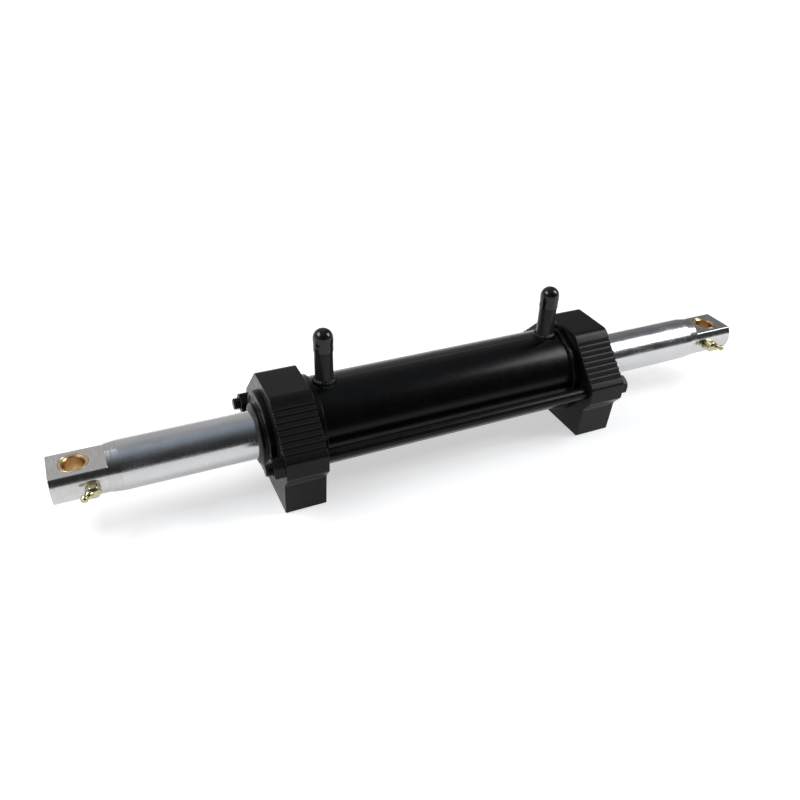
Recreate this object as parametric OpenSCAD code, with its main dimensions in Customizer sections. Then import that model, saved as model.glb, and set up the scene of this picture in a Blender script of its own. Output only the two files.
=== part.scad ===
// Double-rod steering cylinder for a forklift steer axle.
// One hard-chromed rod runs right through a barrel that two footed heads and two long bolts clamp.
// X runs along the rod, Z is up, and the origin is midway between the feet, on the face they stand on.

/* [Rod] */
// Length of the rod over both ends
rod_length = 725; // [700:5:750]
// Diameter of the chromed rod
rod_d = 45; // [44:0.5:45]
// Diameter of the turned-down rod ends
rod_end_d = 43; // [42:0.1:43]
// Thickness of each rod end between its two flats
flat_thickness = 26; // [24:0.5:30]
// Length of the flats from the end of the rod
flat_length = 47; // [44:1:50]
// Length of the taper between the flats and the full diameter
taper_length = 10; // [6:1:14]
// Distance of each pin hole from the end of the rod
pin_inset = 21.5; // [20:0.5:24]
// Outer diameter of the bronze bushes in the rod ends
pin_bush_od = 24.5; // [24:0.5:26]
// Bore of the bronze bushes
pin_bore_d = 18; // [16:0.5:19]

/* [Barrel] */
// Bore of the barrel
bore_d = 70; // [70:1:72]
// Outer diameter of the barrel
barrel_od = 85; // [84:0.5:86]
// Distance of each port from the middle of the barrel
port_x = 119; // [117:0.5:119.5]
// Outer diameter of the port pipes
port_od = 17.2; // [16:0.1:17.6]
// Bore of the port pipes
port_bore_d = 12; // [10:0.5:12.5]
// Height of the port pipes above the rod's axis
port_top = 89.5; // [85:0.5:90]

/* [Heads] */
// Height of the rod's axis above the feet
axis_height = 55; // [54:1:60]
// Distance of each head's inner face from the middle
head_inner_x = 138.5; // [138:0.5:140]
// Width of each head along the rod
head_width = 39; // [38:0.5:42]
// Half the width of the flat top of a head
head_top_half = 24; // [20:1:26]
// Height of the flat top above the rod's axis
head_top = 50.5; // [49:0.5:51]
// Half the width of a head over its two ears
ear_half = 66; // [65:1:68]
// Half the width of a foot
foot_half = 54; // [50:1:56]
// Number of ridges on each slope of a head
ridge_count = 7; // [5:1:7]
// Distance from one ridge to the next
ridge_pitch = 5.7; // [5:0.1:5.8]
// Distance of the tapped foot holes from the middle, along the rod
foot_hole_x = 158; // [156:1:160]
// Distance of the tapped foot holes from the middle, across the rod
foot_hole_y = 36; // [30:1:38]
// Diameter of the tapped foot holes
foot_hole_d = 12; // [10:0.5:12]

/* [Tie bolts] */
// Distance of each tie bolt from the rod's axis
tie_bolt_y = 55; // [54.5:0.5:55]
// Diameter of a tie bolt
tie_bolt_d = 12; // [10:0.5:12]
// Width of a tie bolt's head and nut across their flats
nut_flats = 18; // [17:0.5:18]
// Thickness of a tie bolt's nut
nut_height = 10; // [8:0.5:10]
// Thickness of a tie bolt's head
bolt_head_height = 7.5; // [7:0.5:8]
// Distance from the middle to the threaded end of a tie bolt
tie_bolt_reach = 193.5; // [191:0.5:196]

/* [Motion] */
// Half the stroke of the rod
half_stroke = 95; // [85:1:95]
// Length of the piston
piston_length = 34; // [30:1:34]
// Clearance all round a sliding fit
running_gap = 0.05; // [0.02:0.01:0.08]

/* [Hidden] */
$fn = 96;
SIDES = ["left", "right"];

rod_half = rod_length / 2;
rod_r = rod_d / 2;
rod_end_r = rod_end_d / 2;
flat_x = rod_half - flat_length;
taper_x = flat_x - taper_length;
pin_x = rod_half - pin_inset;
end_chamfer = 0.5;

bore_r = bore_d / 2;
barrel_r = barrel_od / 2;
socket_depth = 8;
barrel_half = head_inner_x + socket_depth;
head_outer_x = head_inner_x + head_width;
collar_wall = 3;
collar_length = 7;
fixed_gap = 0.02;

spigot_x = port_x + port_bore_d / 2 + 1.5;
flange_r = 40;
flange_thickness = 6;
flange_x = head_outer_x + flange_thickness;
nose_r = 29;
nose_x = flange_x + 4;
gland_bore_r = rod_r + 0.4;
bush_from_x = 129;
bush_to_x = 159;
bush_wall = 2.5;
seal_from_x = 164;
seal_to_x = 173;
seal_wall = 5.5;
gland_groove_from_x = 132;
gland_groove_to_x = 138.2;
gland_groove_depth = 3.6;
wear_ring_x = 11;
static_oring_x = 7;

piston_half = piston_length / 2;
snap_width = 2.5;
snap_r = rod_r + 4;
snap_groove_r = rod_r - 2;
stop_x = half_stroke + piston_half + snap_width + 0.2;
stop_r = rod_r + 7;

nipple_x = pin_x - 11;
nipple_seat_y = rod_end_r - 0.75;
nipple_thread_r = 4;
nipple_thread_length = 8;
nipple_flats = 11;
nipple_dome_r = 8;
nipple_dome_y = nipple_seat_y + 4;
nozzle_y = nipple_seat_y + 6.5;
nozzle_angle = 45;
ball_r = 1.2;
ball_reach = 12.4;

black = [0.06, 0.06, 0.065];
bronze = [0.78, 0.55, 0.28];

function unit(v) = v / norm(v);

// The arc that rounds corner p, between the edges to the points before and after it.
function rounded_corner(p, before, after, r, steps) =
    let (
        u = unit(before - p),
        v = unit(after - p),
        half = acos(u * v) / 2,
        centre = p + unit(u + v) * r / sin(half),
        first = p + u * r / tan(half) - centre,
        last = p + v * r / tan(half) - centre,
        turn = atan2(first.x * last.y - first.y * last.x, first * last),
        start = atan2(first.y, first.x)
    )
    [for (i = [0:steps]) centre + r * [cos(start + turn * i / steps), sin(start + turn * i / steps)]];

// One side of a head's outline, seen along the rod: the corners from its top to its foot.
top_corner = [head_top_half, head_top];
ear_top = [ear_half, 8];
ear_bottom = [ear_half, -9];
foot_root = [foot_half + 3, -20];
foot_corner = [foot_half, -axis_height];
arc_steps = 6;

// The slope between the flat top and the ear, with a row of V grooves that leaves ridges between them.
ridge_start = 11.3;
groove_depth = 1.25;
groove_half = 1.6;
down_slope = unit(ear_top - top_corner);
off_slope = [-down_slope.y, down_slope.x];
function on_slope(along, deep) = top_corner + down_slope * along - off_slope * deep;
groove_points = [
    for (i = [0:ridge_count])
    for (step = [-1:1])
    on_slope(ridge_start + i * ridge_pitch + step * groove_half, step == 0 ? groove_depth : 0)
];
half_outline = concat(
    rounded_corner(top_corner, [0, head_top], ear_top, 10, arc_steps),
    groove_points,
    rounded_corner(ear_top, top_corner, ear_bottom, 4, arc_steps),
    rounded_corner(ear_bottom, ear_top, foot_root, 4, arc_steps),
    rounded_corner(foot_root, ear_bottom, foot_corner, 10, arc_steps),
    rounded_corner(foot_corner, foot_root, [0, -axis_height], 1.5, arc_steps)
);
head_outline = concat(
    half_outline,
    [for (i = [len(half_outline) - 1:-1:0]) [-half_outline[i].x, half_outline[i].y]]
);

// Draws the children at the right end, or mirrored to the left end.
module at_end(side) {
    mirror([side == "left" ? 1 : 0, 0, 0]) translate([0, 0, axis_height]) children();
}

// Turns a profile of [radius, distance along X] about the rod's axis.
module turned(profile) {
    rotate([0, 90, 0]) rotate_extrude() polygon(profile);
}

// A ring of rectangular section about the rod's axis.
module ring(inner_r, outer_r, from_x, to_x) {
    turned([[inner_r, from_x], [outer_r, from_x], [outer_r, to_x], [inner_r, to_x]]);
}

// A cord ring of round section about the rod's axis.
module cord_ring(mean_r, cord_r, at_x) {
    rotate([0, 90, 0]) translate([0, 0, at_x]) rotate_extrude() translate([mean_r, 0]) circle(r = cord_r);
}

// ---- Barrel and ports ----

module barrel() {
    color(black)
    translate([0, 0, axis_height])
    difference() {
        ring(bore_r, barrel_r, -barrel_half, barrel_half);
        for (x = [-port_x, port_x]) {
            translate([x, 0, 0]) cylinder(d = port_bore_d, h = barrel_r + 1);
            translate([x, 0, bore_r + 2.5]) cylinder(d = port_od, h = barrel_r);
        }
    }
}

module port_pipe(side) {
    color(black)
    at_end(side)
    translate([port_x, 0, 0])
    difference() {
        union() {
            translate([0, 0, bore_r + 2.5]) cylinder(d = port_od, h = port_top - bore_r - 3.5);
            translate([0, 0, port_top - 1]) cylinder(d1 = port_od, d2 = port_od - 2, h = 1);
        }
        cylinder(d = port_bore_d, h = port_top + 1);
        translate([0, 0, port_top - 1]) cylinder(d1 = port_bore_d, d2 = port_bore_d + 2.2, h = 1.1);
    }
}

module port_weld(side) {
    color([0.12, 0.12, 0.13])
    at_end(side)
    difference() {
        translate([port_x, 0, barrel_r - 3.5])
        cylinder(r1 = port_od / 2 + 5, r2 = port_od / 2 + 0.8, h = 7.5);
        rotate([0, 90, 0]) cylinder(r = barrel_r, h = barrel_half);
        translate([port_x, 0, 0]) cylinder(d = port_od, h = port_top);
    }
}

// The cap's outline bulges a little at its closed end, where the pipe stretches it.
module port_cap(side) {
    cap_inner_r = port_od / 2 + running_gap;
    cap_wall = 0.6;
    cap_open_z = port_top - 15;
    cap_inner_top = port_top + 2.5;
    bulge_r = port_od / 2 + 0.75;
    dome_points = [
        for (a = [0:15:75])
        [bulge_r * cos(a), port_top - 2.9 + (bulge_r - 0.2) * sin(a)]
    ];
    color([0.02, 0.02, 0.02])
    at_end(side)
    translate([port_x, 0, 0])
    rotate_extrude()
    polygon(concat(
        [[cap_inner_r, cap_open_z], [cap_inner_r + cap_wall, cap_open_z]],
        dome_points,
        [[0, port_top - 2.9 + bulge_r - 0.2], [0, cap_inner_top], [cap_inner_r - 3, cap_inner_top],
         [cap_inner_r, port_top]]
    ));
}

// ---- Heads, glands and their seals ----

module head_block() {
    translate([head_inner_x, 0, 0])
    rotate([90, 0, 90])
    linear_extrude(head_width)
    polygon(head_outline);
}

module head(side) {
    color(black)
    at_end(side)
    difference() {
        union() {
            head_block();
            ring(0, barrel_r + collar_wall, head_inner_x - collar_length, head_inner_x + 2);
        }
        ring(0, barrel_r + fixed_gap, head_inner_x - 10, barrel_half + fixed_gap);
        ring(0, bore_r, head_inner_x, head_outer_x + 1);
        for (y = [-tie_bolt_y, tie_bolt_y])
        translate([head_inner_x - 1, y, 0])
        rotate([0, 90, 0]) cylinder(d = tie_bolt_d + 1, h = head_width + 2);
        for (y = [-foot_hole_y, foot_hole_y])
        translate([foot_hole_x, y, -axis_height - 1]) cylinder(d = foot_hole_d, h = 23);
    }
}

module gland(side) {
    spanner_hole_circle_r = 34.5;
    color(black)
    at_end(side)
    difference() {
        union() {
            ring(gland_bore_r, stop_r, stop_x, spigot_x);
            ring(gland_bore_r, bore_r - fixed_gap, spigot_x, head_outer_x);
            ring(gland_bore_r, flange_r, head_outer_x, flange_x);
            ring(gland_bore_r, nose_r, flange_x, nose_x);
        }
        ring(rod_r, rod_r + bush_wall, bush_from_x, bush_to_x);
        ring(rod_r, rod_r + seal_wall, seal_from_x, seal_to_x);
        ring(rod_r, rod_r + 4.5, nose_x - 6, nose_x + 1);
        ring(bore_r - gland_groove_depth, bore_r + 1, gland_groove_from_x, gland_groove_to_x);
        for (a = [45:90:315])
        rotate([a, 0, 0])
        translate([flange_x - 4, 0, spanner_hole_circle_r])
        rotate([0, 90, 0]) cylinder(d = 5, h = 5);
    }
}

module guide_bush(side) {
    color(bronze)
    at_end(side) ring(rod_r + running_gap, rod_r + bush_wall, bush_from_x, bush_to_x);
}

module rod_seal(side) {
    color([0.25, 0.4, 0.75])
    at_end(side)
    difference() {
        ring(rod_r + running_gap, rod_r + seal_wall - 0.05, seal_from_x + 0.5, seal_to_x - 0.5);
        ring(rod_r + 2, rod_r + 3.5, seal_from_x, seal_from_x + 4);
    }
}

module wiper(side) {
    wiper_r = rod_r + running_gap;
    color([0.1, 0.1, 0.1])
    at_end(side)
    turned([
        [wiper_r + 1, nose_x - 5.8], [rod_r + 4.45, nose_x - 5.8], [rod_r + 4.45, nose_x + 0.2],
        [wiper_r + 1.6, nose_x + 1.8], [wiper_r, nose_x + 1.8], [wiper_r, nose_x + 0.6],
        [wiper_r + 1, nose_x - 1]
    ]);
}

module gland_oring(side) {
    color([0.05, 0.05, 0.05])
    at_end(side) cord_ring(bore_r - 1.85, 1.7, gland_groove_from_x + 2);
}

module backup_ring(side) {
    color([0.9, 0.88, 0.82])
    at_end(side) ring(bore_r - 3.55, bore_r - 0.1, gland_groove_to_x - 2, gland_groove_to_x - 0.2);
}

// ---- Tie bolts and their nuts ----

// A hexagon standing on Z = 0, its far edge chamfered as on a bolt head.
module hexagon(height) {
    corner_r = nut_flats / 2 / cos(30);
    chamfer = 1.2;
    intersection() {
        cylinder(r = corner_r, h = height, $fn = 6);
        union() {
            cylinder(r = corner_r + 1, h = height - chamfer);
            translate([0, 0, height - chamfer])
            cylinder(r1 = corner_r, r2 = nut_flats / 2 - 0.5, h = chamfer);
        }
    }
}

module tie_bolt(y) {
    bolt_r = tie_bolt_d / 2;
    color([0.05, 0.05, 0.055])
    translate([0, y, axis_height]) {
        turned([
            [0, -tie_bolt_reach], [bolt_r - 1, -tie_bolt_reach], [bolt_r, 1 - tie_bolt_reach],
            [bolt_r, head_outer_x + 1], [0, head_outer_x + 1]
        ]);
        translate([head_outer_x, 0, 0]) rotate([0, 90, 0]) hexagon(bolt_head_height);
    }
}

module tie_nuts() {
    color([0.08, 0.08, 0.08])
    for (y = [-tie_bolt_y, tie_bolt_y])
    at_end("left")
    translate([head_outer_x, y, 0])
    rotate([0, 90, 0])
    difference() {
        hexagon(nut_height);
        translate([0, 0, -1]) cylinder(d = tie_bolt_d + 0.04, h = nut_height + 2);
    }
}

// ---- Piston on the rod ----

module piston() {
    color([0.35, 0.35, 0.36])
    translate([0, 0, axis_height])
    difference() {
        ring(rod_r + running_gap, bore_r - 0.08, -piston_half, piston_half);
        ring(bore_r - 6, bore_r + 1, -3.5, 3.5);
        for (side = [-1, 1])
        translate([side * wear_ring_x, 0, 0]) ring(bore_r - 2.5, bore_r + 1, -3.1, 3.1);
        translate([static_oring_x, 0, 0]) ring(rod_r - 1, rod_r + 2.8, -1.9, 1.9);
    }
}

module piston_seal() {
    color([0.35, 0.25, 0.15])
    translate([0, 0, axis_height]) ring(bore_r - 2, bore_r - running_gap, -3.3, 3.3);
}

module piston_energiser() {
    color([0.05, 0.05, 0.05])
    translate([0, 0, axis_height]) cord_ring(bore_r - 4, 1.9, 0);
}

module piston_static_oring() {
    color([0.05, 0.05, 0.05])
    translate([0, 0, axis_height]) cord_ring(rod_r + 1.43, 1.33, static_oring_x);
}

module wear_ring(side) {
    color([0.7, 0.65, 0.5])
    at_end(side) translate([wear_ring_x, 0, 0]) ring(bore_r - 2.45, bore_r - running_gap, -3, 3);
}

module snap_ring(side) {
    color([0.45, 0.46, 0.48])
    at_end(side)
    difference() {
        ring(snap_groove_r, snap_r, piston_half + 0.1, piston_half + snap_width);
        translate([0, -4, 0]) cube([piston_half + 10, 8, snap_r + 1]);
    }
}

// ---- Rod and what rides on it ----

module rod_stock() {
    snap_from = piston_half + 0.1;
    snap_to = piston_half + snap_width + 0.1;
    right_half = [
        [snap_from, rod_r], [snap_from, snap_groove_r], [snap_to, snap_groove_r], [snap_to, rod_r],
        [taper_x, rod_r], [flat_x, rod_end_r], [rod_half - end_chamfer, rod_end_r],
        [rod_half, rod_end_r - end_chamfer]
    ];
    left_half = [for (i = [len(right_half) - 1:-1:0]) [-right_half[i][0], right_half[i][1]]];
    outline = concat(left_half, right_half);
    turned(concat(
        [[0, -rod_half]],
        [for (p = outline) [p[1], p[0]]],
        [[0, rod_half]]
    ));
}

module rod_end_cuts() {
    for (z = [flat_thickness / 2, -flat_thickness / 2 - rod_r])
    translate([flat_x, -rod_r, z]) cube([flat_length + 1, rod_d, rod_r]);
    translate([pin_x, 0, -rod_r]) cylinder(d = pin_bush_od, h = rod_d);
    translate([nipple_x, 0, 0])
    rotate([90, 0, 0]) {
        translate([0, 0, nipple_seat_y]) cylinder(d = 14.5, h = 5);
        translate([0, 0, nipple_seat_y - nipple_thread_length - 1]) cylinder(r = nipple_thread_r, h = 20);
        translate([0, 0, 4]) cylinder(d = 4, h = 20);
    }
}

module rod() {
    color([0.75, 0.76, 0.78])
    translate([0, 0, axis_height])
    difference() {
        rod_stock();
        rod_end_cuts();
        mirror([1, 0, 0]) rod_end_cuts();
    }
}

module pin_bush(side) {
    half = flat_thickness / 2;
    bush_r = pin_bush_od / 2;
    pin_r = pin_bore_d / 2;
    chamfer = 1.2;
    oil_groove_depth = 0.8;
    color(bronze)
    at_end(side)
    translate([pin_x, 0, 0])
    difference() {
        rotate_extrude()
        polygon([
            [pin_r, -half + chamfer], [pin_r + chamfer, -half], [bush_r, -half], [bush_r, -2.5],
            [bush_r - oil_groove_depth, -2.5], [bush_r - oil_groove_depth, 2.5], [bush_r, 2.5],
            [bush_r, half], [pin_r + chamfer, half], [pin_r, half - chamfer]
        ]);
        rotate([90, 0, 0]) cylinder(d = 3, h = bush_r + 1);
    }
}

// Points the children along the nipple's nozzle, with its length along Z.
module along_nozzle() {
    translate([nipple_x, -nozzle_y, 0]) rotate([90, 0, nozzle_angle]) children();
}

module grease_nipple(side) {
    corner_r = nipple_flats / 2 / cos(30);
    mouth = ball_reach + 0.82;
    color([0.78, 0.7, 0.4])
    at_end(side)
    difference() {
        union() {
            translate([nipple_x, 0, 0])
            rotate([90, 0, 0]) {
                translate([0, 0, nipple_seat_y - nipple_thread_length])
                cylinder(r = nipple_thread_r - fixed_gap, h = nipple_thread_length + 1);
                intersection() {
                    translate([0, 0, nipple_seat_y]) cylinder(r = corner_r, h = 13, $fn = 6);
                    translate([0, 0, nipple_dome_y]) sphere(r = nipple_dome_r);
                }
            }
            along_nozzle()
            rotate_extrude()
            polygon([
                [0, 0], [3.9, 0], [3.9, 6.4], [2.5, 8.4], [2.3, 9.2], [3.25, 10.6], [3.25, 11.5],
                [2.3, mouth + 0.2], [1.2, mouth + 0.6], [0, mouth + 0.6]
            ]);
        }
        along_nozzle() {
            cylinder(r = 1, h = 6);
            translate([0, 0, 4.8]) cylinder(r = ball_r + 0.1, h = mouth - 4.8);
            translate([0, 0, mouth - 1]) cylinder(r = 0.9, h = 3);
        }
        translate([nipple_x, 0, 0]) rotate([90, 0, 0]) cylinder(r = 1, h = nozzle_y);
    }
}

module nipple_ball(side) {
    color([0.6, 0.6, 0.62])
    at_end(side) along_nozzle() translate([0, 0, ball_reach]) sphere(r = ball_r, $fn = 32);
}

// The wire of the coil spring behind the ball, swept round its own axis.
module nipple_spring(side) {
    wire_r = 0.16;
    coil_r = 0.95;
    turns = 6;
    rings_per_turn = 12;
    low = 6;
    high = ball_reach - 1.35;
    wire_sides = 6;
    last = turns * rings_per_turn;
    wire_points = [
        for (i = [0:last])
        for (k = [0:wire_sides - 1])
        let (
            around = 360 * i / rings_per_turn,
            section = 360 * k / wire_sides,
            r = coil_r + wire_r * cos(section)
        )
        [r * cos(around), r * sin(around), low + (high - low) * i / last + wire_r * sin(section)]
    ];
    wire_faces = concat(
        [[for (k = [0:wire_sides - 1]) k]],
        [
            for (i = [0:last - 1])
            for (k = [0:wire_sides - 1])
            let (next = (k + 1) % wire_sides, a = i * wire_sides, b = (i + 1) * wire_sides)
            [a + k, b + k, b + next, a + next]
        ],
        [[for (k = [wire_sides - 1:-1:0]) last * wire_sides + k]]
    );
    color([0.6, 0.6, 0.62])
    at_end(side) along_nozzle() polyhedron(wire_points, wire_faces);
}

barrel();
rod();
piston();
piston_seal();
piston_energiser();
piston_static_oring();
tie_bolt(-tie_bolt_y);  // tie_bolt_front
tie_bolt(tie_bolt_y);  // tie_bolt_rear
tie_nuts();
for (side = SIDES) {
    head(side);
    gland(side);
    guide_bush(side);
    rod_seal(side);
    wiper(side);
    gland_oring(side);
    backup_ring(side);
    port_pipe(side);
    port_weld(side);
    port_cap(side);
    wear_ring(side);
    snap_ring(side);
    pin_bush(side);
    grease_nipple(side);
    nipple_ball(side);
    nipple_spring(side);
}
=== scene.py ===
"""Looks for a double-rod steering cylinder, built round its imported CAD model.

Shapes are worked out in millimetres and stored in metres. X runs along the rod, Z is up and the
feet stand on z = 0. Places come from the CAD nodes' boxes.
"""

import math

import bmesh
import bpy
from mathutils import Matrix, Vector, noise


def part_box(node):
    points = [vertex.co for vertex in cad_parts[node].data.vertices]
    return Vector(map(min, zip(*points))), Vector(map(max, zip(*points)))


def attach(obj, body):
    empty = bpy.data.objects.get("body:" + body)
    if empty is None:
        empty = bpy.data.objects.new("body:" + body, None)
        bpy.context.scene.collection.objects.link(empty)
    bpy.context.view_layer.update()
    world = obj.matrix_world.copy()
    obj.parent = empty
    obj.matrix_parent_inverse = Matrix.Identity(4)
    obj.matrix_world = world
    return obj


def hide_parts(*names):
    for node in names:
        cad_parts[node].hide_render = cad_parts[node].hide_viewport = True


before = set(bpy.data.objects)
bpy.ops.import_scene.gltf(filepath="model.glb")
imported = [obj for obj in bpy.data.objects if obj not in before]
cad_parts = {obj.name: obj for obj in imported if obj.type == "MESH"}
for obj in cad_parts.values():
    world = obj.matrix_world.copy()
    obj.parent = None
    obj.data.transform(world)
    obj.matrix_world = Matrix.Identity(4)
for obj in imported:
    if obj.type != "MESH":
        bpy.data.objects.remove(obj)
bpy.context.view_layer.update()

MM = 0.001
TURN = 2 * math.pi
SIDES = {"left": -1, "right": 1}


def middle(node):
    low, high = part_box(node)
    return (low + high) / 2 / MM


def span(node):
    low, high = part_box(node)
    return (high - low) / MM


def highest(node):
    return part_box(node)[1] / MM


# ---- Sizes in millimetres, with heights from the rod's axis ----

AXIS_Z = middle("rod").z
ROD_HALF = highest("rod").x
ROD_R = span("rod").z / 2
FLAT_HALF = span("right_pin_bush").z / 2
PIN_X = middle("right_pin_bush").x
BUSH_R = span("right_pin_bush").x / 2
BARREL_HALF = highest("barrel").x
BARREL_R = span("barrel").z / 2
HEAD_OUT = highest("right_head").x
EAR_HALF = highest("right_head").y
HEAD_TOP = highest("right_head").z - AXIS_Z
FLANGE_R = span("right_gland").y / 2
GLAND_OUT = highest("right_gland").x
WIPER_OUT = highest("right_wiper").x
PORT_X = middle("right_port_pipe").x
PORT_R = span("right_port_pipe").x / 2
PORT_TOP = highest("right_port_pipe").z - AXIS_Z
CAP_R = span("right_port_cap").x / 2
CAP_TOP = highest("right_port_cap").z - AXIS_Z
CAP_OPEN = CAP_TOP - span("right_port_cap").z
TIE_Y = middle("tie_bolt_rear").y
BOLT_HEAD_OUT = highest("tie_bolt_rear").x
TIE_REACH = BOLT_HEAD_OUT - 2 * middle("tie_bolt_rear").x
NUT_THICK = span("tie_nuts").x
NUT_FLATS = span("tie_nuts").y - 2 * TIE_Y

BORE_R = 35
PIPE_SEAT = BORE_R + 2.5
PORT_BORE_R = 6
PIN_R = 9
END_R = 21.5
TIE_R = 6
FLAT_X = ROD_HALF - 47
TAPER_X = FLAT_X - 10
HEAD_IN = HEAD_OUT - 39
COLLAR_X = HEAD_IN - 7
NIPPLE_X = PIN_X - 11
NIPPLE_SEAT = END_R - 0.75
NIPPLE_THREAD_R = 4
THREAD_PITCH = 1.75
CRISP = 32  # degrees between two faces, beyond which their edge isn't smoothed

# ---- Camera, floor and lights ----


def make_camera():
    """The photograph's view: from the left, above and in front, with a slight roll."""
    length = 2 * ROD_HALF * MM
    yaw, pitch, roll = math.radians(25.35), math.radians(33.52), math.radians(1.94)
    ahead = Vector((math.sin(yaw) * math.cos(pitch), math.cos(yaw) * math.cos(pitch), -math.sin(pitch)))
    level = Vector((math.cos(yaw), -math.sin(yaw), 0))
    upright = level.cross(ahead)
    right = level * math.cos(roll) + upright * math.sin(roll)
    up = upright * math.cos(roll) - level * math.sin(roll)
    rod_lengths_away = Vector((-0.4291, -0.7842, 0.5771))
    place = Vector((0, 0, AXIS_Z * MM)) + length * rod_lengths_away
    data = bpy.data.cameras.new("camera")
    data.lens = 34.66
    data.sensor_width = 36
    data.clip_start = 0.01
    camera = bpy.data.objects.new("camera", data)
    camera.matrix_world = Matrix.Translation(place) @ Matrix((right, up, -ahead)).transposed().to_4x4()
    bpy.context.scene.collection.objects.link(camera)
    bpy.context.scene.camera = camera


def softbox(name, place, target, size, radiance):
    """A rectangular light that shows that radiance to whatever reflects it."""
    data = bpy.data.lights.new(name, "AREA")
    data.shape = "RECTANGLE"
    data.size, data.size_y = size
    data.energy = radiance * math.pi * size[0] * size[1]
    light = bpy.data.objects.new(name, data)
    aim = (Vector(target) - Vector(place)).to_track_quat("-Z", "Y")
    light.matrix_world = Matrix.Translation(place) @ aim.to_matrix().to_4x4()
    bpy.context.scene.collection.objects.link(light)


def make_sky():
    """A dim room: light at the back, blue-grey overhead, dark in front, and darker to the right."""
    world = bpy.data.worlds.new("studio")
    bpy.context.scene.world = world
    world.use_nodes = True
    nodes, links = world.node_tree.nodes, world.node_tree.links
    split = nodes.new("ShaderNodeSeparateXYZ")
    links.new(nodes.new("ShaderNodeTexCoord").outputs["Generated"], split.inputs[0])
    colours = []
    back_to_front = [(0.05, (0.66, 0.64, 0.64)), (0.16, (0.6, 0.59, 0.6)), (0.26, (0.44, 0.45, 0.47)),
                     (0.5, (0.36, 0.41, 0.48)), (0.66, (0.25, 0.29, 0.35)), (0.76, (0.14, 0.15, 0.17)),
                     (0.88, (0.06, 0.06, 0.06)), (0.97, (0.03, 0.03, 0.03))]
    left_to_right = [(0.64, (1, 1, 1)), (0.8, (0.45, 0.45, 0.45))]
    for axis, slope, stops in (("Y", -0.5, back_to_front), ("X", 0.5, left_to_right)):
        share = nodes.new("ShaderNodeMath")
        share.operation = "MULTIPLY_ADD"
        links.new(split.outputs[axis], share.inputs[0])
        share.inputs[1].default_value = slope
        share.inputs[2].default_value = 0.5
        ramp = nodes.new("ShaderNodeValToRGB")
        links.new(share.outputs[0], ramp.inputs["Fac"])
        set_ramp(ramp, stops)
        colours.append(ramp.outputs["Color"])
    product = nodes.new("ShaderNodeMix")
    product.data_type = "RGBA"
    product.blend_type = "MULTIPLY"
    product.inputs["Factor"].default_value = 1
    links.new(colours[0], product.inputs["A"])
    links.new(colours[1], product.inputs["B"])
    links.new(product.outputs["Result"], nodes["Background"].inputs["Color"])


def make_studio():
    """A pale floor in a dim room, with two softboxes above it."""
    bpy.context.scene.view_settings.view_transform = "Standard"
    make_sky()
    softbox("left_softbox", (-0.9, 0.2, 1.05), (-0.3, 0, 0.05), (0.8, 0.5), 9)
    softbox("right_softbox", (1.12, -0.4, 1.05), (0.3, 0, 0.05), (0.6, 0.72), 11)
    make_floor()


def make_floor():
    """A floor that reaches 6 m each way."""
    bm = bmesh.new()
    reach = 6000
    corners = [(-reach, -reach), (reach, -reach), (reach, reach), (-reach, reach)]
    bm.faces.new([bm.verts.new((x, y, 0)) for x, y in corners])
    floor = add_object("floor", bm, [floor_material()])


# ---- Material building ----


def set_ramp(ramp, stops):
    """Gives a ColorRamp node these (position, colour) stops."""
    elements = ramp.color_ramp.elements
    while len(elements) > len(stops):
        elements.remove(elements[-1])
    while len(elements) < len(stops):
        elements.new(1.0)
    for element, (at, colour) in zip(elements, stops):
        element.position = at
        element.color = (*colour, 1)


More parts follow.
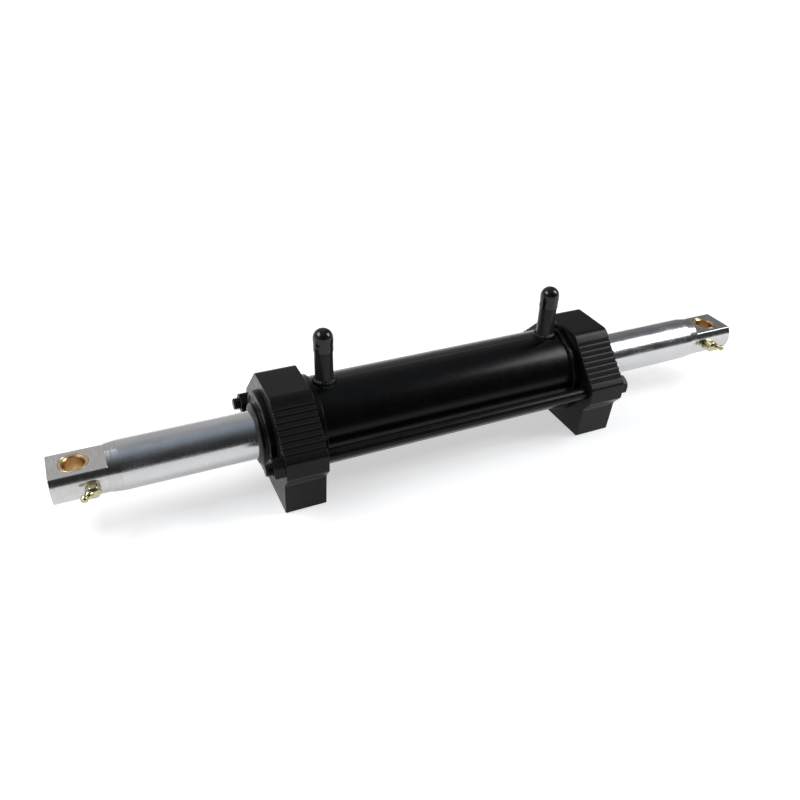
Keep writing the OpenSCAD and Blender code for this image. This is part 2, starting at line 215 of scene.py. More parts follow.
class Finish:
    """A Principled material whose colour, roughness and bump come from procedural textures."""

    def __init__(self, name, metallic=0.0, **constants):
        self.material = bpy.data.materials.new(name)
        self.material.use_nodes = True
        tree = self.material.node_tree
        self.nodes, self.links = tree.nodes, tree.links
        self.shader = self.nodes["Principled BSDF"]
        self.shader.inputs["Metallic"].default_value = metallic
        for key, value in constants.items():
            self.shader.inputs[key.replace("_", " ")].default_value = value
        coordinates = self.nodes.new("ShaderNodeTexCoord")
        self.place = coordinates.outputs["Object"]
        self.normal = None

    def scaled(self, scale):
        """Object coordinates times a scale for each axis."""
        mapping = self.nodes.new("ShaderNodeMapping")
        mapping.inputs["Scale"].default_value = scale
        self.links.new(self.place, mapping.inputs["Vector"])
        return mapping.outputs["Vector"]

    def noise(self, scale, detail=2.0, rough=0.5, vector=None):
        """Noise with that many features a metre, or along a scaled vector."""
        node = self.nodes.new("ShaderNodeTexNoise")
        node.inputs["Scale"].default_value = scale
        node.inputs["Detail"].default_value = detail
        node.inputs["Roughness"].default_value = rough
        self.links.new(vector or self.place, node.inputs["Vector"])
        return node.outputs["Fac"]

    def scratches(self, vector, width):
        """Thin bright lines where a Voronoi cell's edge runs."""
        node = self.nodes.new("ShaderNodeTexVoronoi")
        node.feature = "DISTANCE_TO_EDGE"
        node.inputs["Scale"].default_value = 1
        self.links.new(vector, node.inputs["Vector"])
        return self.ramp(node.outputs["Distance"], [(0.0, (1, 1, 1)), (width, (0, 0, 0))])

    def ramp(self, factor, stops):
        node = self.nodes.new("ShaderNodeValToRGB")
        set_ramp(node, stops)
        self.links.new(factor, node.inputs["Fac"])
        return node.outputs["Color"]

    def math(self, kind, a, b):
        node = self.nodes.new("ShaderNodeMath")
        node.operation = kind
        for socket, value in zip(node.inputs, (a, b)):
            if isinstance(value, (int, float)):
                socket.default_value = value
            else:
                self.links.new(value, socket)
        return node.outputs[0]

    def range(self, factor, low, high, from_low=0.3, from_high=0.7):
        """Stretches a factor to run from low to high."""
        node = self.nodes.new("ShaderNodeMapRange")
        self.links.new(factor, node.inputs["Value"])
        node.inputs["From Min"].default_value = from_low
        node.inputs["From Max"].default_value = from_high
        node.inputs["To Min"].default_value = low
        node.inputs["To Max"].default_value = high
        return node.outputs["Result"]

    def mix(self, factor, a, b):
        node = self.nodes.new("ShaderNodeMix")
        node.data_type = "RGBA"
        self.links.new(factor, node.inputs["Factor"])
        for socket, value in ((node.inputs["A"], a), (node.inputs["B"], b)):
            if isinstance(value, tuple):
                socket.default_value = (*value, 1)
            else:
                self.links.new(value, socket)
        return node.outputs["Result"]

    def edges(self):
        """1 on convex edges, 0 elsewhere."""
        flat, sharp = 0.52, 0.6
        geometry = self.nodes.new("ShaderNodeNewGeometry")
        return self.range(geometry.outputs["Pointiness"], 0.0, 1.0, flat, sharp)

    def colour(self, socket):
        self.links.new(socket, self.shader.inputs["Base Color"])

    def roughness(self, socket):
        self.links.new(socket, self.shader.inputs["Roughness"])

    def bump(self, height, depth, strength):
        """Adds a bump of that depth in metres on top of any earlier one."""
        node = self.nodes.new("ShaderNodeBump")
        node.inputs["Strength"].default_value = strength
        node.inputs["Distance"].default_value = depth
        self.links.new(height, node.inputs["Height"])
        if self.normal:
            self.links.new(self.normal, node.inputs["Normal"])
        self.normal = node.outputs["Normal"]
        self.links.new(self.normal, self.shader.inputs["Normal"])


def floor_material():
    """Pale grey, with a glow that grows with the distance from the object until it is plain white. The dimmer
    glow round the object is painted shade.
    """
    near, far, dim, bright = 0.55, 1.2, 0.55, 1.2
    finish = Finish("pale_floor", Roughness=0.8, Emission_Color=(1, 1, 1, 1))
    finish.colour(finish.ramp(finish.noise(1.2, 3), [(0.3, (0.58, 0.58, 0.58)), (0.7, (0.6, 0.6, 0.6))]))
    distance = finish.nodes.new("ShaderNodeVectorMath")
    distance.operation = "LENGTH"
    finish.links.new(finish.place, distance.inputs[0])
    # painted shade: the floor's glow is weaker near the object, as if the floor were shaded there
    glow = finish.range(distance.outputs["Value"], dim, bright, near, far)
    finish.links.new(glow, finish.shader.inputs["Emission Strength"])
    finish.bump(finish.noise(400, 2), 0.0002, 0.2)
    return finish.material


def black_paint(name, dark, light, smooth, rough, peel):
    """Sprayed black paint: orange peel, faint dust, and a little lighter grey on convex edges."""
    finish = Finish(name, Specular_IOR_Level=0.15)
    cloud = finish.noise(45, 4, 0.6)
    dust = finish.ramp(finish.noise(900, 2, 0.7), [(0.66, (0, 0, 0)), (0.74, (1, 1, 1))])
    base = finish.ramp(cloud, [(0.3, (dark, dark, dark * 1.08)), (0.72, (light, light, light * 1.06))])
    dusted = finish.mix(finish.math("MULTIPLY", dust, 0.05), base, (0.16, 0.16, 0.155))
    # convex edges are mixed a little towards grey
    finish.colour(finish.mix(finish.math("MULTIPLY", finish.edges(), 0.15), dusted, (0.11, 0.11, 0.11)))
    finish.roughness(finish.range(finish.noise(160, 3, 0.6), smooth, rough))
    finish.bump(finish.noise(620, 2, 0.5), peel, 0.5)
    return finish.material


def hard_chrome():
    """Ground and polished chrome: fine lines round the rod, faint rubbing along it and light smears."""
    finish = Finish("hard_chrome", 1.0)
    around = finish.noise(1.0, 3, 0.65, finish.scaled((5200, 90, 90)))
    along = finish.noise(1.0, 2, 0.6, finish.scaled((26, 1900, 1900)))
    smear = finish.noise(1.0, 4, 0.6, finish.scaled((30, 60, 60)))
    finish.colour(finish.ramp(smear, [(0.3, (0.49, 0.495, 0.505)), (0.7, (0.55, 0.555, 0.56))]))
    lines = finish.range(around, 0.0, 0.10)
    rubbed = finish.range(along, 0.0, 0.06)
    film = finish.range(smear, 0.09, 0.2)
    finish.roughness(finish.math("ADD", finish.math("ADD", lines, rubbed), film))
    finish.bump(around, 0.000004, 0.5)
    finish.bump(along, 0.000003, 0.4)
    return finish.material


def ground_steel(name, direction, tone, smooth):
    """Milled and ground steel: straight tool lines along one direction, with random scratches."""
    finish = Finish(name, 1.0)
    lines = finish.noise(1.0, 4, 0.7, finish.scaled(direction))
    patch = finish.noise(70, 4, 0.6)
    crossing = finish.scratches(finish.scaled((260, 90, 60)), 0.012)
    base = finish.ramp(lines, [(0.28, (tone * 0.86,) * 3), (0.72, (tone * 1.08, tone * 1.07, tone * 1.05))])
    stained = finish.mix(finish.range(patch, 0.0, 0.35), base, (tone * 0.78, tone * 0.75, tone * 0.7))
    finish.colour(finish.mix(finish.math("MULTIPLY", crossing, 0.35), stained, (0.85, 0.85, 0.85)))
    finish.roughness(finish.range(lines, smooth, smooth + 0.14))
    finish.bump(lines, 0.00002, 0.5)
    return finish.material


def bronze():
    """Turned bronze: rings round the bore, warm and dull patches, bright on its edges."""
    finish = Finish("bronze", 1.0)
    rings = finish.noise(1.0, 3, 0.6, finish.scaled((120, 120, 3600)))
    patch = finish.noise(220, 4, 0.6)
    base = finish.ramp(patch, [(0.3, (0.46, 0.32, 0.17)), (0.7, (0.66, 0.48, 0.28))])
    finish.colour(finish.mix(finish.math("MULTIPLY", finish.edges(), 0.6), base, (0.84, 0.70, 0.52)))
    finish.roughness(finish.range(rings, 0.2, 0.38))
    finish.bump(rings, 0.00002, 0.5)
    return finish.material


def yellow_zinc():
    """Yellow passivated zinc: brassy, with faint green and pink drifts."""
    finish = Finish("yellow_zinc", 1.0)
    drift = finish.noise(260, 3, 0.6)
    stops = [(0.3, (0.36, 0.33, 0.17)), (0.5, (0.48, 0.44, 0.25)), (0.7, (0.54, 0.48, 0.33))]
    finish.colour(finish.ramp(drift, stops))
    finish.roughness(finish.range(finish.noise(900, 3, 0.6), 0.14, 0.3))
    finish.bump(finish.noise(1500, 2), 0.00002, 0.4)
    return finish.material


def bright_steel():
    finish = Finish("bright_steel", 1.0)
    grain = finish.noise(1.0, 3, 0.6, finish.scaled((4000, 300, 300)))
    finish.colour(finish.ramp(grain, [(0.3, (0.45, 0.46, 0.48)), (0.7, (0.62, 0.63, 0.65))]))
    finish.roughness(finish.range(grain, 0.22, 0.38))
    finish.bump(grain, 0.00001, 0.5)
    return finish.material


def turned_iron():
    finish = Finish("turned_iron", 0.9)
    rings = finish.noise(1.0, 3, 0.6, finish.scaled((2600, 60, 60)))
    finish.colour(finish.ramp(rings, [(0.3, (0.2, 0.2, 0.205)), (0.7, (0.34, 0.34, 0.345))]))
    finish.roughness(finish.range(rings, 0.34, 0.52))
    finish.bump(rings, 0.00003, 0.5)
    return finish.material


def black_vinyl():
    """Dipped vinyl: very glossy, with slow waves and a few dust specks."""
    finish = Finish("black_vinyl", Specular_IOR_Level=0.35)
    wave = finish.noise(170, 2)
    specks = finish.ramp(finish.noise(2200, 2, 0.7), [(0.7, (0, 0, 0)), (0.76, (1, 1, 1))])
    base = finish.ramp(wave, [(0.3, (0.002, 0.002, 0.002)), (0.7, (0.005, 0.005, 0.005))])
    finish.colour(finish.mix(finish.math("MULTIPLY", specks, 0.08), base, (0.2, 0.2, 0.2)))
    finish.roughness(finish.range(wave, 0.12, 0.24))
    finish.bump(wave, 0.0003, 0.35)
    return finish.material


def moulded(name, dark, light, rough):
    """Seal rubber or seal plastic: dull, mottled and finely grained."""
    finish = Finish(name)
    finish.colour(finish.ramp(finish.noise(300, 4, 0.6), [(0.3, dark), (0.7, light)]))
    finish.roughness(finish.range(finish.noise(700, 3), rough - 0.1, rough + 0.1))
    finish.bump(finish.noise(2600, 2), 0.00003, 0.5)
    return finish.material


# ---- Mesh building, in millimetres ----


def add_object(name, bm, materials=(), sharp=CRISP):
    """Turns a bmesh into a shaded object, with edges sharper than that angle kept crisp."""
    bmesh.ops.remove_doubles(bm, verts=bm.verts, dist=1e-4)
    bmesh.ops.recalc_face_normals(bm, faces=bm.faces)
    bmesh.ops.scale(bm, verts=bm.verts, vec=(MM, MM, MM))
    mesh = bpy.data.meshes.new(name)
    bm.to_mesh(mesh)
    bm.free()
    for material in materials:
        mesh.materials.append(material)
    mesh.shade_smooth()
    mesh.set_sharp_from_angle(angle=math.radians(sharp))
    made = bpy.data.objects.new(name, mesh)
    bpy.context.scene.collection.objects.link(made)
    return made


def dress(made, node, body):
    """Puts a finished piece on its body, in place of its CAD node, with even shading on flat faces."""
    even = made.modifiers.new("even_normals", "WEIGHTED_NORMAL")
    even.keep_sharp = True
    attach(made, body)
    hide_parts(node)


def pointing(origin, direction):
    """A frame at origin whose X axis runs along direction and whose Z axis is as upright as it can be."""
    ahead = Vector(direction).normalized()
    across = Vector((0, 1, 0)) if abs(ahead.z) > 0.9 else Vector((0, 0, 1)).cross(ahead).normalized()
    turned = Matrix((ahead, across, ahead.cross(across))).transposed().to_4x4()
    return Matrix.Translation(origin) @ turned


def outward(side, x=0.0, y=0.0):
    """A frame on the rod's axis, or beside it, whose X axis runs out to the left or the right."""
    return pointing((side * x, y, AXIS_Z), (side, 0, 0))


def upward(x, z=0.0):
    return pointing((x, 0, AXIS_Z + z), (0, 0, 1))


def rounded(corners, closed=False, steps=4):
    """Points along an outline of (x, y) or (x, y, radius) corners, each rounded to its radius."""
    points = []
    count = len(corners)
    for i, corner in enumerate(corners):
        here = Vector(corner[:2])
        radius = corner[2] if len(corner) > 2 else 0
        if radius == 0 or not (closed or 0 < i < count - 1):
            points.append(here)
            continue
        u = (Vector(corners[i - 1][:2]) - here).normalized()
        v = (Vector(corners[(i + 1) % count][:2]) - here).normalized()
        half = u.angle(v) / 2
        centre = here + (u + v).normalized() * radius / math.sin(half)
        first = here + u * radius / math.tan(half) - centre
        last = here + v * radius / math.tan(half) - centre
        begin = math.atan2(first.y, first.x)
        turn = math.atan2(first.x * last.y - first.y * last.x, first.dot(last))
        for step in range(steps + 1):
            angle = begin + turn * step / steps
            points.append(centre + radius * Vector((math.cos(angle), math.sin(angle))))
    return points


def skin(bm, loops, closed=False):
    """Joins loops of equal length, or single points, with faces, and shuts an open skin's two ends."""
    pairs = list(zip(loops, loops[1:]))
    if closed:
        pairs.append((loops[-1], loops[0]))
    for one, two in pairs:
        count = max(len(one), len(two))
        for k in range(count):
            n = (k + 1) % count
            if len(one) == 1:
                bm.faces.new((one[0], two[k], two[n]))
            elif len(two) == 1:
                bm.faces.new((one[k], two[0], one[n]))
            else:
                bm.faces.new((one[k], two[k], two[n], one[n]))
    for loop in () if closed else (loops[0], loops[-1]):
        if len(loop) > 2:
            bm.faces.new(loop)


def turn(rows, place, segments=128, closed=False, bm=None):
    """Turns rows about the X axis of place. A row is (x, radius), or a function of the angle for both."""
    bm = bm or bmesh.new()
    loops = []
    for row in rows:
        if not callable(row) and row[1] < 1e-9:
            loops.append([bm.verts.new(place @ Vector((row[0], 0, 0)))])
            continue
        loop = []
        for k in range(segments):
            angle = TURN * k / segments
            x, r = row(angle) if callable(row) else row
            loop.append(bm.verts.new(place @ Vector((x, r * math.cos(angle), r * math.sin(angle)))))
        loops.append(loop)
    skin(bm, loops, closed)
    return bm


def change(made, tools, kind="DIFFERENCE"):
    """Cuts tools away from a piece, or joins them to it, and keeps the result as its own mesh."""
    for tool in tools:
        step = made.modifiers.new("change", "BOOLEAN")
        step.operation = kind
        step.solver = "EXACT"
        step.object = tool
    bpy.context.view_layer.update()
    result = bpy.data.meshes.new_from_object(made.evaluated_get(bpy.context.evaluated_depsgraph_get()))
    made.modifiers.clear()
    made.data = result
    for tool in tools:
        bpy.data.objects.remove(tool)
    made.data.shade_smooth()
    made.data.set_sharp_from_angle(angle=math.radians(CRISP))


def plug(place, radius, length):
    """A plain cylinder to cut or join, from place along its X axis."""
    return add_object("tool", turn([(0, 0), (0, radius), (length, radius), (length, 0)], place, 96))


def drill(place, radius, depth, chamfer=0.5, through=True):
    """A hole cutter that starts at a face at place and leaves a chamfered edge wherever it comes out."""
    rows = [(-1, 0), (-1, radius + chamfer + 1), (chamfer, radius)]
    if through:
        rows += [(depth - chamfer, radius), (depth + 1, radius + chamfer + 1), (depth + 1, 0)]
    else:
        rows += [(depth, radius), (depth + 0.6 * radius, 0)]
    return add_object("tool", turn(rows, place, 96))


def soft_min(a, b, blend):
    """The smaller of two numbers, with the change from one to the other rounded off."""
    share = max(blend - abs(a - b), 0) / blend
    return min(a, b) - share * share * blend / 4


def hexagon(flats, angle, phase=0.0):
    """A hexagon's radius at an angle. It has a corner at phase, and its corners are slightly rounded."""
    sixth = TURN / 6
    off = (angle - phase) % sixth - sixth / 2
    return soft_min(flats / 2 / math.cos(off), flats / 2 / math.cos(sixth / 2) - 0.15, 0.2)


def thread(x, angle, radius, pitch, depth):
    """The radius of a right-hand thread at a place along and round it."""
    along = (x / pitch - angle / TURN) % 1
    return radius - depth * min(1, max(0, 1.25 - abs(along - 0.5) * 3.2))


# ---- Barrel, heads and ports ----


def make_barrel():
    rows = rounded([(-BARREL_HALF, BORE_R), (-BARREL_HALF, BARREL_R, 0.8), (BARREL_HALF, BARREL_R, 0.8),
                    (BARREL_HALF, BORE_R)], closed=True)
    barrel = add_object("barrel_tube", turn(rows, outward(1), 192, closed=True), [FINISH["black_paint"]])
    change(barrel, [plug(upward(side * PORT_X, z), r, BARREL_R)
                    for side in SIDES.values() for z, r in ((BORE_R / 2, PORT_BORE_R), (PIPE_SEAT, PORT_R))])
    dress(barrel, "barrel", "cylinder")


def head_outline():
    """A head's outline as (across, up): a flat top, two ridged slopes, two ears and two feet."""
    top_half, ear_top, ear_bottom, foot, foot_root = 24, 8, -9, 54, -20
    top, ear = Vector((top_half, HEAD_TOP)), Vector((EAR_HALF, ear_top))
    down = (ear - top).normalized()
    off = Vector((-down.y, down.x))
    half = [(0, HEAD_TOP), (*top, 10)]
    grooves, start, pitch, depth, width = 8, 11.3, 5.7, 1.25, 2.2
    for groove in range(grooves):
        for step in range(-4, 5):
            shallow = (1 + math.cos(math.pi * step / 4)) / 2
            along = start + groove * pitch + width * step / 4
            half.append(tuple(top + down * along - off * depth * shallow))
    half += [(*ear, 4), (EAR_HALF, ear_bottom, 4), (foot + 3, foot_root, 10), (foot, -AXIS_Z, 1.5),
             (0, -AXIS_Z)]
    points = rounded(half, steps=6)
    return points + [Vector((-p.x, p.y)) for p in points[-2:0:-1]]


def inset(outline, distance):
    """The outline moved inwards by a distance."""
    moved = []
    for i, here in enumerate(outline):
        before = (here - outline[i - 1]).normalized()
        after = (outline[(i + 1) % len(outline)] - here).normalized()
        one, two = Vector((before.y, -before.x)), Vector((after.y, -after.x))
        moved.append(here + (one + two) * distance / (1 + one.dot(two)))
    return moved


def make_head(name, side):
    outline = head_outline()
    bm = bmesh.new()
    soft, steps = 0.7, 3
    quarter = [math.pi / 2 * step / steps for step in range(steps + 1)]
    rows = [(HEAD_IN + soft * (1 - math.sin(a)), soft * (1 - math.cos(a))) for a in reversed(quarter)]
    rows += [(HEAD_OUT - soft * (1 - math.sin(a)), soft * (1 - math.cos(a))) for a in quarter]
    place = outward(side)
    loops = [[bm.verts.new(place @ Vector((x, p.x, p.y))) for p in inset(outline, deep)] for x, deep in rows]
    skin(bm, loops)
    head = add_object(name + "_head_casting", bm, [FINISH["black_casting"]])
    collar_r, collar_end = BARREL_R + 3, HEAD_IN + 2
    collar = rounded([(COLLAR_X, 0), (COLLAR_X, collar_r, 0.8), (collar_end, collar_r), (collar_end, 0)])
    change(head, [add_object("tool", turn(collar, place, 160))], "UNION")
    width, gap = HEAD_OUT - HEAD_IN, 0.02
    holes = [plug(outward(side, COLLAR_X - 1), BARREL_R + gap, BARREL_HALF + gap - COLLAR_X + 1),
             plug(outward(side, HEAD_IN), BORE_R, width + 5)]
    holes += [drill(outward(side, HEAD_IN, y), TIE_R + 0.5, width) for y in (-TIE_Y, TIE_Y)]
    foot_x, foot_y, foot_hole_r, foot_depth = 158, 36, 6, 22
    holes += [drill(pointing((side * foot_x, y, 0), (0, 0, 1)), foot_hole_r, foot_depth, 1, through=False)
              for y in (-foot_y, foot_y)]
    change(head, holes)
    dress(head, name + "_head", "cylinder")


def make_port_pipe(name, side):
    rows = [(PIPE_SEAT, PORT_BORE_R), (PIPE_SEAT, PORT_R), (PORT_TOP, PORT_R, 0.9),
            (PORT_TOP, PORT_BORE_R, 0.9)]
    bm = turn(rounded(rows, closed=True), upward(side * PORT_X), 96, closed=True)
    pipe = add_object(name + "_port_tube", bm, [FINISH["black_paint"]])
    dress(pipe, name + "_port_pipe", "cylinder")


def make_port_weld(name, side):
    """A fillet bead whose foot follows the barrel and whose face has the scallops of a hand weld."""
    top, toe, root, scallops, steps = 46.2, 11.2, 10.7, 26, 12

    def on_barrel(r, angle, sink=0.0):
        return math.sqrt((BARREL_R - sink) ** 2 - (r * math.cos(angle)) ** 2), r

    def face(share):
        def row(angle):
            wander = noise.noise(Vector((math.cos(angle) * 2, math.sin(angle) * 2, 5 * side)))
            toe_x, toe_r = on_barrel(toe + math.cos(angle) ** 2 + 0.4 * wander, angle, 0.1)
            crescent = 1.3 * (2 * share - 1) ** 2
            wave = abs(math.sin((scallops * angle + wander) / 2 + crescent)) - 0.5
            bulge = math.sin(math.pi * share) * (0.75 + 0.45 * wave)
            x = top + (toe_x - top) * share
            r = PORT_R + (toe_r - PORT_R) * share
            return x + 0.6 * bulge, r + 0.8 * bulge
        return row

    rows = [face(step / steps) for step in range(steps + 1)]
    rows += [lambda angle: on_barrel(root, angle, 0.4), lambda angle: on_barrel(PORT_R, angle, 0.4)]
    bm = turn(rows, upward(side * PORT_X), 260, closed=True)
    weld = add_object(name + "_port_bead", bm, [FINISH["black_paint"]], 60)
    dress(weld, name + "_port_weld", "cylinder")


def make_port_cap(name, side):
    """A dipped vinyl cap: an open rim with a small lip, a stretched wall and a domed end."""
    inner, wall, dome = PORT_R + 0.05, 0.6, CAP_R - 0.2
    dome_x = CAP_TOP - dome
    outline = [(PORT_TOP + 2.5, 0), (PORT_TOP + 2.5, inner - 3), (PORT_TOP, inner, 1),
               (CAP_OPEN, inner, 0.25), (CAP_OPEN, inner + wall, 0.3),
               (CAP_OPEN + 1.6, inner + wall - 0.05, 1.5),
               (CAP_OPEN + 7, inner + wall - 0.12, 8), (dome_x - 2.5, CAP_R, 4)]
    quarter = [math.radians(a) for a in range(0, 90, 6)]
    points = rounded(outline) + [(dome_x + dome * math.sin(a), CAP_R * math.cos(a)) for a in quarter]

    def uneven(x, r):
        def row(angle):
            sway = noise.noise(Vector((math.cos(angle), math.sin(angle), x / 6 + 9 * side)))
            return x, r * (1 - 0.012 * (0.5 + 0.5 * sway) if r > inner + 0.1 else 1)
        return row

    rows = [points[0]] + [uneven(x, r) for x, r in points[1:]] + [(CAP_TOP, 0)]
    bm = turn(rows, upward(side * PORT_X), 96)
    cap = add_object(name + "_port_dust_cap", bm, [FINISH["black_vinyl"]], 50)
    dress(cap, name + "_port_cap", name + "_cap")


# ---- Glands and tie bolts ----


def make_gland(name, side):
    """The gland's nose, flange, spigot and seal grooves, with four spanner holes in the flange."""
    bore, spigot, stop = ROD_R + 0.4, BORE_R - 0.02, ROD_R + 7
    inner_end, shoulder = 114.7, 124
    oring_in, oring_out, oring_floor = 132, 138.2, 31.4
    nose, flange_x = 29, GLAND_OUT - 4
    wiper_in, wiper_floor = GLAND_OUT - 6, ROD_R + 4.5
    seal_in, seal_out, seal_floor = 164, 173, ROD_R + 5.5
    bush_in, bush_out, bush_floor = 129, 159, ROD_R + 2.5
    outline = [(inner_end, bore, 0.4), (inner_end, stop, 1), (shoulder, stop), (shoulder, spigot, 0.6),
               (oring_in, spigot), (oring_in, oring_floor), (oring_out, oring_floor), (oring_out, spigot),
               (HEAD_OUT, spigot), (HEAD_OUT, FLANGE_R, 0.4), (flange_x, FLANGE_R, 1.1),
               (flange_x, nose, 1.2), (GLAND_OUT, nose, 0.9), (GLAND_OUT, wiper_floor, 0.3),
               (wiper_in, wiper_floor), (wiper_in, bore),
               (seal_out, bore), (seal_out, seal_floor), (seal_in, seal_floor), (seal_in, bore),
               (bush_out, bore), (bush_out, bush_floor), (bush_in, bush_floor), (bush_in, bore)]
    bm = turn(rounded(outline, closed=True), outward(side), 192, closed=True)
    gland = add_object(name + "_gland_nut", bm, [FINISH["black_casting"]])
    hole_circle, hole_r, hole_depth = 34.5, 2.5, 3.4
    holes = []
    for quarter in range(4):
        angle = TURN * (quarter + 0.5) / 4
        y, z = hole_circle * math.cos(angle), hole_circle * math.sin(angle)
        place = pointing((side * flange_x, y, AXIS_Z + z), (-side, 0, 0))
        holes.append(drill(place, hole_r, hole_depth, 0.4, through=False))
    change(gland, holes)
    dress(gland, name + "_gland", "cylinder")


def make_wiper(name, side):
    lip, outer, base = ROD_R + 0.05, ROD_R + 4.45, GLAND_OUT - 5.8
    outline = [(base, lip + 1), (base, outer), (GLAND_OUT + 0.2, outer, 0.5), (WIPER_OUT, lip + 1.6, 0.4),
               (WIPER_OUT, lip, 0.15), (WIPER_OUT - 1.2, lip, 0.2), (WIPER_OUT - 2.8, lip + 1)]
    bm = turn(rounded(outline, closed=True), outward(side), 160, closed=True)
    wiper = add_object(name + "_wiper_lip", bm, [FINISH["seal_rubber"]])
    dress(wiper, name + "_wiper", "cylinder")


def hexagon_rows(seat, out):
    """A hexagon's side from its seat to its far end, where its corners are chamfered."""
    phase, corner = TURN / 12, NUT_FLATS / 2 / math.cos(TURN / 12)

    def row(x, limit):
        return lambda angle: (x, min(hexagon(NUT_FLATS, angle, phase), limit))

    rows = [row(seat, corner - 1), row(seat + 0.6, corner), row(out - 1.5, corner)]
    return rows + [row(out - 1.2 + 0.1 * step, corner - 0.155 * step) for step in range(1, 13)]


def make_tie_bolt(node, y):
    """A long bolt with its head on the right end block and a right-hand thread through the left one."""
    steps, depth, chamfer = 160, 1.0, 1.1
    begin = HEAD_IN + 12

    def threaded(x):
        fade = min(1, (abs(x) - begin) / THREAD_PITCH)
        crest = min(TIE_R, TIE_R - chamfer + (TIE_REACH - abs(x)))
        return lambda angle: (x, min(crest, thread(x, angle, TIE_R, THREAD_PITCH, depth * fade)))

    rows = [(-TIE_REACH, 0)]
    rows += [threaded(-TIE_REACH + (TIE_REACH - begin) * step / steps) for step in range(steps)]
    rows += [(-begin + 1, TIE_R), (HEAD_OUT, TIE_R)] + hexagon_rows(HEAD_OUT, BOLT_HEAD_OUT)
    rows += [(BOLT_HEAD_OUT, 5), (BOLT_HEAD_OUT - 0.3, 4.4), (BOLT_HEAD_OUT - 0.3, 0)]
    bm = turn(rows, outward(1, 0, y), 144)
    bolt = add_object(node.replace("tie_bolt", "long_bolt"), bm, [FINISH["black_fastener"]], 50)
    dress(bolt, node, "cylinder")


def make_tie_nuts():
    bore, out = TIE_R + 0.05, HEAD_OUT + NUT_THICK
    rows = hexagon_rows(HEAD_OUT, out)
    rows += [(out, bore + 1), (out - 1, bore), (HEAD_OUT + 1, bore), (HEAD_OUT, bore + 1)]
    bm = bmesh.new()
    for y in (-TIE_Y, TIE_Y):
        turn(rows, outward(-1, 0, y), 144, closed=True, bm=bm)
    dress(add_object("hex_nuts", bm, [FINISH["black_fastener"]]), "tie_nuts", "cylinder")


# ---- Rod, bushes and nipples ----


def make_rod():
    """The chromed rod, with a taper, turned ends and two milled flats at each end."""
    fillet, chamfer, fine = 0.8, 0.5, 0.4
    ring_in, ring_out, ring_floor = 17.1, 19.6, ROD_R - 2
    half = [(ring_in, ROD_R), (ring_in, ring_floor), (ring_out, ring_floor), (ring_out, ROD_R),
            (TAPER_X - 60, ROD_R), (TAPER_X - fine, ROD_R), (TAPER_X, ROD_R),
            (TAPER_X + fine, ROD_R - 0.05), (FLAT_X - fine, END_R + 0.05), (FLAT_X, END_R)]
    for step in range(5):
        angle = math.pi / 2 * step / 4
        x = FLAT_X + fillet * (1 - math.cos(angle))
        half.append((x, END_R, FLAT_HALF + fillet * (1 - math.sin(angle))))
    half += [(FLAT_X + 2, END_R, FLAT_HALF), (ROD_HALF - chamfer - 0.3, END_R, FLAT_HALF),
             (ROD_HALF - chamfer, END_R - 0.02, FLAT_HALF), (ROD_HALF - 0.2, END_R - 0.25, FLAT_HALF),
             (ROD_HALF, END_R - chamfer, FLAT_HALF - 0.2)]

    def row(sign, x, r, flat=None):
        if flat is None:
            return sign * x, r
        return lambda angle: (sign * x, soft_min(r, flat / max(abs(math.sin(angle)), 1e-3), 0.5))

    rows = [row(-1, *point) for point in reversed(half)] + [row(1, *point) for point in half]
    rod = add_object("steering_rod", turn(rows, outward(1), 360),
                     [FINISH["hard_chrome"], FINISH["turned_end"], FINISH["milled_flat"]])
    tools = []
    spot_r, thread_depth = 7.25, 9
    for side in SIDES.values():
        tools.append(drill(upward(side * PIN_X, -FLAT_HALF), BUSH_R, 2 * FLAT_HALF, 0.35))
        seat = pointing((side * NIPPLE_X, -NIPPLE_SEAT, AXIS_Z), (0, -1, 0))
        bottom = pointing((side * NIPPLE_X, -NIPPLE_SEAT + thread_depth, AXIS_Z), (0, -1, 0))
        tools += [plug(seat, spot_r, 6), plug(bottom, NIPPLE_THREAD_R, thread_depth + 3)]
    change(rod, tools)
    for face in rod.data.polygons:
        beyond = abs(face.center.x) / MM
        on_flat = beyond > FLAT_X + 0.1 and abs(face.normal.z) > 0.99
        face.material_index = 2 if on_flat else 1 if beyond > TAPER_X else 0
    dress(rod, "rod", "rod")


def make_pin_bush(name, side):
    """A bush with a grease groove round it, a cross hole for the grease and a chamfered bore."""
    groove, groove_r, chamfer = 2.5, BUSH_R - 0.8, 1.2
    outline = [(-FLAT_HALF, BUSH_R, 0.3), (-groove, BUSH_R), (-groove, groove_r), (groove, groove_r),
               (groove, BUSH_R), (FLAT_HALF, BUSH_R, 0.3), (FLAT_HALF, PIN_R + chamfer, 0.2),
               (FLAT_HALF - chamfer, PIN_R, 0.3), (chamfer - FLAT_HALF, PIN_R, 0.3),
               (-FLAT_HALF, PIN_R + chamfer, 0.2)]
    bm = turn(rounded(outline, closed=True), upward(side * PIN_X), 128, closed=True)
    bush = add_object(name + "_bronze_bush", bm, [FINISH["bronze"]])
    change(bush, [plug(pointing((side * PIN_X, 0, AXIS_Z), (0, -1, 0)), 1.5, 14)])
    dress(bush, name + "_pin_bush", "rod")


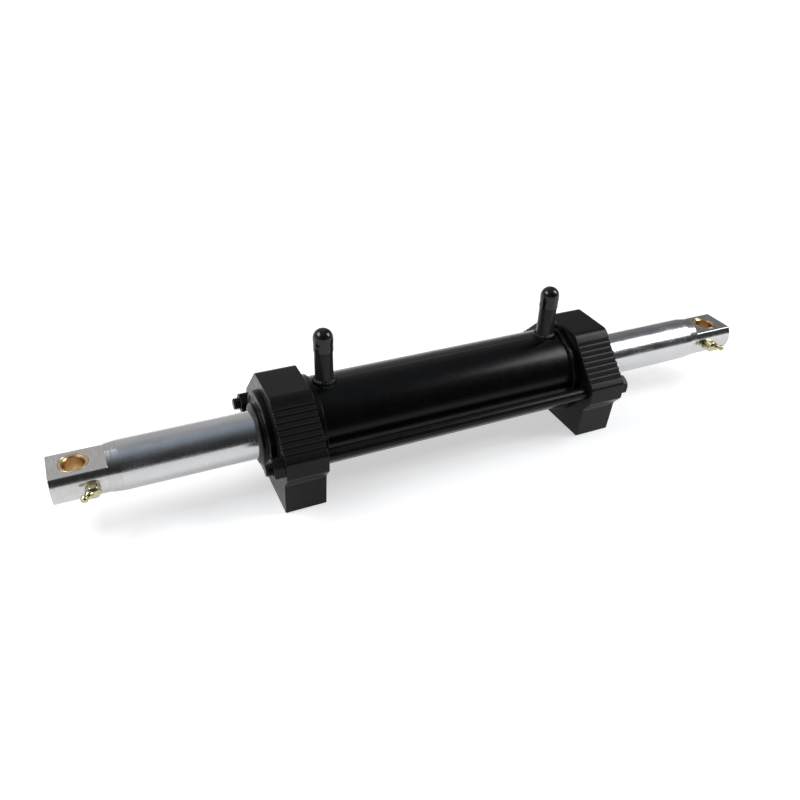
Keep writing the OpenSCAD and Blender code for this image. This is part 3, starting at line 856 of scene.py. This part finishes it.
def make_grease_nipple(name, side):
    """A screwed hexagon body with a rounded top, and a nozzle that leaves it outwards at 45 degrees."""
    flats, dome, dome_at, thread_r = 11, 8, 4, NIPPLE_THREAD_R - 0.02
    tip, bore, way = 13.8, 0.9, 1.3
    seat = pointing((side * NIPPLE_X, -NIPPLE_SEAT, AXIS_Z), (0, -1, 0))

    def hex_row(x, limit):
        return lambda angle: (x, soft_min(hexagon(flats, angle), limit, 0.25))

    rows = [(-8, 0), (-8, 3.2), (-7.2, thread_r), (0, thread_r), hex_row(0, 5.7), hex_row(0.5, 6.4),
            hex_row(dome_at, dome)]
    for step in range(30):
        x = dome_at + 0.5 + 0.25 * step
        rows.append(hex_row(x, math.sqrt(dome ** 2 - (x - dome_at) ** 2)))
    rows.append((dome_at + dome, 0))
    body = add_object(name + "_angle_nipple", turn(rows, seat, 120), [FINISH["yellow_zinc"]])
    nozzle = pointing((side * NIPPLE_X, -NIPPLE_SEAT - 6.5, AXIS_Z), (side, -1, 0))
    outline = [(0, 0), (0, 3.9), (6.4, 3.9, 0.7), (8.4, 2.5, 0.4), (9.2, 2.3, 0.4), (10.6, 3.25, 0.5),
               (11.5, 3.25, 0.7), (13.4, 2.3, 0.6), (tip, 1.2, 0.15), (tip, 0)]
    change(body, [add_object("tool", turn(rounded(outline, steps=5), nozzle, 96))], "UNION")
    mouth = nozzle @ Matrix.Translation((tip + 0.02, 0, 0)) @ Matrix.Rotation(math.pi, 4, "Z")
    change(body, [plug(nozzle @ Matrix.Translation((4.8, 0, 0)), way, 7.42),
                  drill(mouth, bore, 3, 0.2, through=False)])
    dress(body, name + "_grease_nipple", "rod")


# ---- Inner pieces, which keep their CAD shapes ----

INNER = {
    "bare_iron": ["piston"],
    "bronze": ["left_guide_bush", "right_guide_bush"],
    "spring_steel": ["left_snap_ring", "right_snap_ring", "left_nipple_ball", "right_nipple_ball",
                     "left_nipple_spring", "right_nipple_spring"],
    "seal_rubber": ["piston_energiser", "piston_static_oring", "left_gland_oring", "right_gland_oring"],
    "seal_plastic": ["piston_seal", "left_wear_ring", "right_wear_ring", "left_rod_seal", "right_rod_seal",
                     "left_backup_ring", "right_backup_ring"],
}


def paint_inner_pieces():
    for slot, nodes in INNER.items():
        for node in nodes:
            for material_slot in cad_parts[node].material_slots:
                material_slot.material = FINISH[slot]


FINISH = {
    "black_paint": black_paint("black_paint", dark=0.001, light=0.002, smooth=0.2, rough=0.27, peel=0.00002),
    "black_casting": black_paint("black_casting", dark=0.001, light=0.002, smooth=0.26, rough=0.36,
                                 peel=0.0001),
    "black_fastener": black_paint("black_fastener", dark=0.0016, light=0.0035, smooth=0.26, rough=0.38,
                                  peel=0.00004),
    "hard_chrome": hard_chrome(),
    "turned_end": ground_steel("turned_end", direction=(2600, 60, 60), tone=0.52, smooth=0.12),
    "milled_flat": ground_steel("milled_flat", direction=(1400, 60, 60), tone=0.56, smooth=0.2),
    "bare_iron": turned_iron(),
    "bronze": bronze(),
    "yellow_zinc": yellow_zinc(),
    "spring_steel": bright_steel(),
    "black_vinyl": black_vinyl(),
    "seal_rubber": moulded("seal_rubber", dark=(0.006, 0.006, 0.006), light=(0.016, 0.016, 0.016), rough=0.5),
    "seal_plastic": moulded("seal_plastic", dark=(0.2, 0.13, 0.07), light=(0.3, 0.2, 0.11), rough=0.45),
}

make_camera()
make_studio()
make_barrel()
make_rod()
make_tie_bolt("tie_bolt_front", -TIE_Y)
make_tie_bolt("tie_bolt_rear", TIE_Y)
make_tie_nuts()
for each, toward in SIDES.items():
    make_head(each, toward)
    make_gland(each, toward)
    make_wiper(each, toward)
    make_port_pipe(each, toward)
    make_port_weld(each, toward)
    make_port_cap(each, toward)
    make_pin_bush(each, toward)
    make_grease_nipple(each, toward)
paint_inner_pieces()
